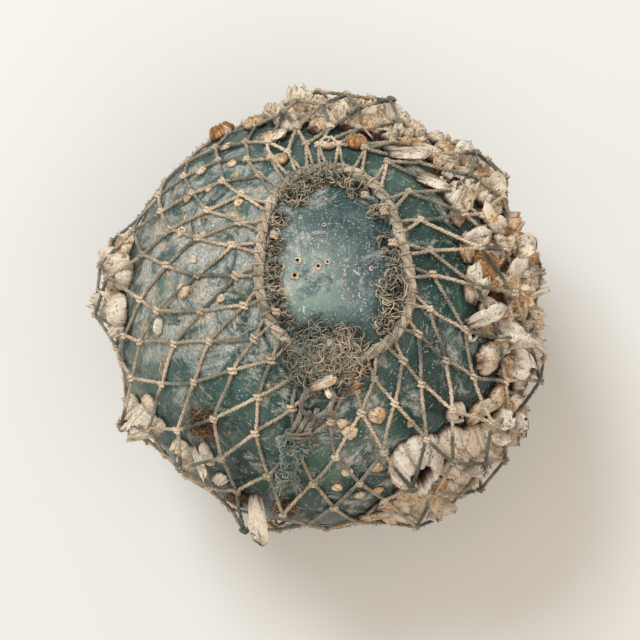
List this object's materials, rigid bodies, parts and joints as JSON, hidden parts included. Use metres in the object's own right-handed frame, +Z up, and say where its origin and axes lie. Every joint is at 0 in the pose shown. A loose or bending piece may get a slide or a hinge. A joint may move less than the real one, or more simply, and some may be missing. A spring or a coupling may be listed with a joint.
{
  "type": "glass float ball",
  "caption": "Sealed glass fishing float in a knotted net with a rope ring, crusted with barnacles, resting on its flat drawcord.",
  "frame": {"origin": "centre of the flat drawcord coil under the float, on the surface it rests on", "axes": "+Z up through the ball's centre, with the rope ring on top leaning towards +Y; +X to the side with most barnacles"},
  "size_m": [0.3291, 0.3277, 0.318],
  "materials": {
    "glass": "deep green, dulled by salt and scratches",
    "twine": "laid fibre, weathered, greenish where it stayed wet",
    "rope": "three-strand laid rope, weathered",
    "dark_rope": "dark weathered cord with frayed ends",
    "shell": "chalky barnacle shell, stained tan and brown",
    "hydroid": "dry wiry tufts",
    "weed": "dry brown weed"
  },
  "bodies": {
    "root": {"barnacle_broken": "shell", "barnacle_cap_lower_left": "shell", "barnacle_lower_left": "shell", "barnacle_pair_lower_left": "shell", "barnacle_pair_upper_left": "shell", "barnacle_under_back": "shell", "barnacle_under_left": "shell", "barnacle_under_right": "shell", "barnacles_back_left": "shell", "barnacles_back_right": "shell", "barnacles_lower": "shell", "barnacles_lower_right": "shell", "barnacles_right": "shell", "barnacles_top": "shell", "barnacles_under_front": "shell", "barnacles_upper_right": "shell", "drawcord": "rope", "glass_ball": "glass", "hydroid_mat": "hydroid", "hydroid_tuft_1": "hydroid", "hydroid_tuft_10": "hydroid", "hydroid_tuft_11": "hydroid", "hydroid_tuft_12": "hydroid", "hydroid_tuft_13": "hydroid", "hydroid_tuft_14": "hydroid", "hydroid_tuft_15": "hydroid", "hydroid_tuft_2": "hydroid", "hydroid_tuft_3": "hydroid", "hydroid_tuft_4": "hydroid", "hydroid_tuft_5": "hydroid", "hydroid_tuft_6": "hydroid", "hydroid_tuft_7": "hydroid", "hydroid_tuft_8": "hydroid", "hydroid_tuft_9": "hydroid", "lashing": "dark_rope", "net": "twine", "rope_ring": "rope", "shell_oval": "shell", "shell_spike_large": "shell", "shell_spike_small": "shell", "shell_tooth": "shell", "weed_tuft_bottom": "weed", "weed_tuft_left": "weed", "weed_tuft_lower": "weed"}
  },
  "joints": []
}
